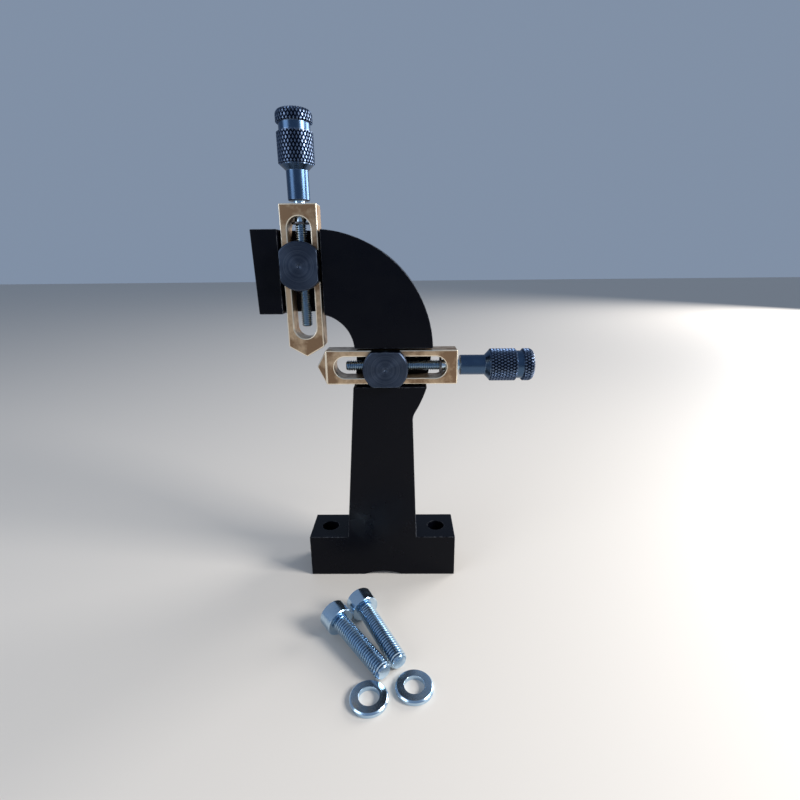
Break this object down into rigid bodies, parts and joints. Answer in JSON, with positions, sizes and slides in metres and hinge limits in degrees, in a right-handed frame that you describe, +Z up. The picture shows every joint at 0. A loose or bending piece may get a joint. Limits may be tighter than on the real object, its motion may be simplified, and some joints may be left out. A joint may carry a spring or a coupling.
{
  "type": "lathe steady rest",
  "caption": "Hooked steady rest for a small lathe: black frame with pointed brass fingers, knurled adjusting screws, round-headed clamps and loose fixing screws.",
  "frame": {"origin": "centre of the foot's underside, midway between the two fixing holes and midway through the frame's thickness", "axes": "+Z up, +X towards the side knob, -Y towards the face that carries the fingers; the work axis is parallel to Y"},
  "size_m": [0.1009, 0.0905, 0.1749],
  "materials": {
    "black_anodised_aluminium": "black anodised, satin, with bright thin edges",
    "brass": "milled and lightly tarnished, bright broken edges",
    "zinc_plated_steel": "bright blue-white zinc plating",
    "black_oxide_steel": "turned and black oxided, slightly glossy",
    "bright_steel": "ground bright steel",
    "spring_steel": "dark phosphated spring steel"
  },
  "bodies": {
    "frame": {"frame": "black_anodised_aluminium", "top_clamp_stud": "black_oxide_steel", "side_clamp_stud": "black_oxide_steel", "mounting_screw_left": "zinc_plated_steel", "mounting_screw_right": "zinc_plated_steel", "mounting_washer_left": "zinc_plated_steel", "mounting_washer_right": "zinc_plated_steel"},
    "top_finger": {"top_finger": "brass"},
    "top_screw": {"top_adjusting_screw": "zinc_plated_steel", "top_knob": "black_oxide_steel", "top_knob_pin": "bright_steel", "top_retaining_ring": "spring_steel"},
    "side_finger": {"side_finger": "brass"},
    "side_screw": {"side_adjusting_screw": "zinc_plated_steel", "side_knob": "black_oxide_steel", "side_knob_pin": "bright_steel", "side_retaining_ring": "spring_steel"},
    "top_washer": {"top_clamp_washer": "zinc_plated_steel"},
    "top_nut": {"top_clamp_nut": "zinc_plated_steel"},
    "side_washer": {"side_clamp_washer": "zinc_plated_steel"},
    "side_nut": {"side_clamp_nut": "zinc_plated_steel"}
  },
  "joints": [
    {"name": "top_finger_slide", "type": "slide", "parent": "frame", "child": "top_finger", "axis": [0, 0, 1], "range_m": [-0.00098, 0.0154]},
    {"name": "top_screw_turn", "type": "hinge", "parent": "top_finger", "child": "top_screw", "pos_m": [-0.0261, -0.00365, 0.16], "axis": [0, 0, 1], "range_deg": [-504, 7920]},
    {"name": "side_finger_slide", "type": "slide", "parent": "frame", "child": "side_finger", "axis": [1, 0, 0], "range_m": [-0.00084, 0.0105]},
    {"name": "side_screw_turn", "type": "hinge", "parent": "side_finger", "child": "side_screw", "pos_m": [0.045, -0.00365, 0.0892], "axis": [1, 0, 0], "range_deg": [-432, 5400]},
    {"name": "top_washer_slide", "type": "slide", "parent": "frame", "child": "top_washer", "axis": [0, 1, 0], "range_m": [0, 0.002]},
    {"name": "top_nut_turn", "type": "hinge", "parent": "top_washer", "child": "top_nut", "pos_m": [-0.0261, 0.0131, 0.1255], "axis": [0, 1, 0], "range_deg": [0, 720]},
    {"name": "side_washer_slide", "type": "slide", "parent": "frame", "child": "side_washer", "axis": [0, 1, 0], "range_m": [0, 0.002]},
    {"name": "side_nut_turn", "type": "hinge", "parent": "side_washer", "child": "side_nut", "pos_m": [0.0027, 0.0131, 0.0892], "axis": [0, 1, 0], "range_deg": [0, 720]}
  ],
  "couplings": [
    {"joint": "top_screw_turn", "follows": "top_finger_slide", "rad_per_m": 8976},
    {"joint": "side_screw_turn", "follows": "side_finger_slide", "rad_per_m": 8976},
    {"joint": "top_nut_turn", "follows": "top_washer_slide", "rad_per_m": 6283.2},
    {"joint": "side_nut_turn", "follows": "side_washer_slide", "rad_per_m": 6283.2}
  ]
}
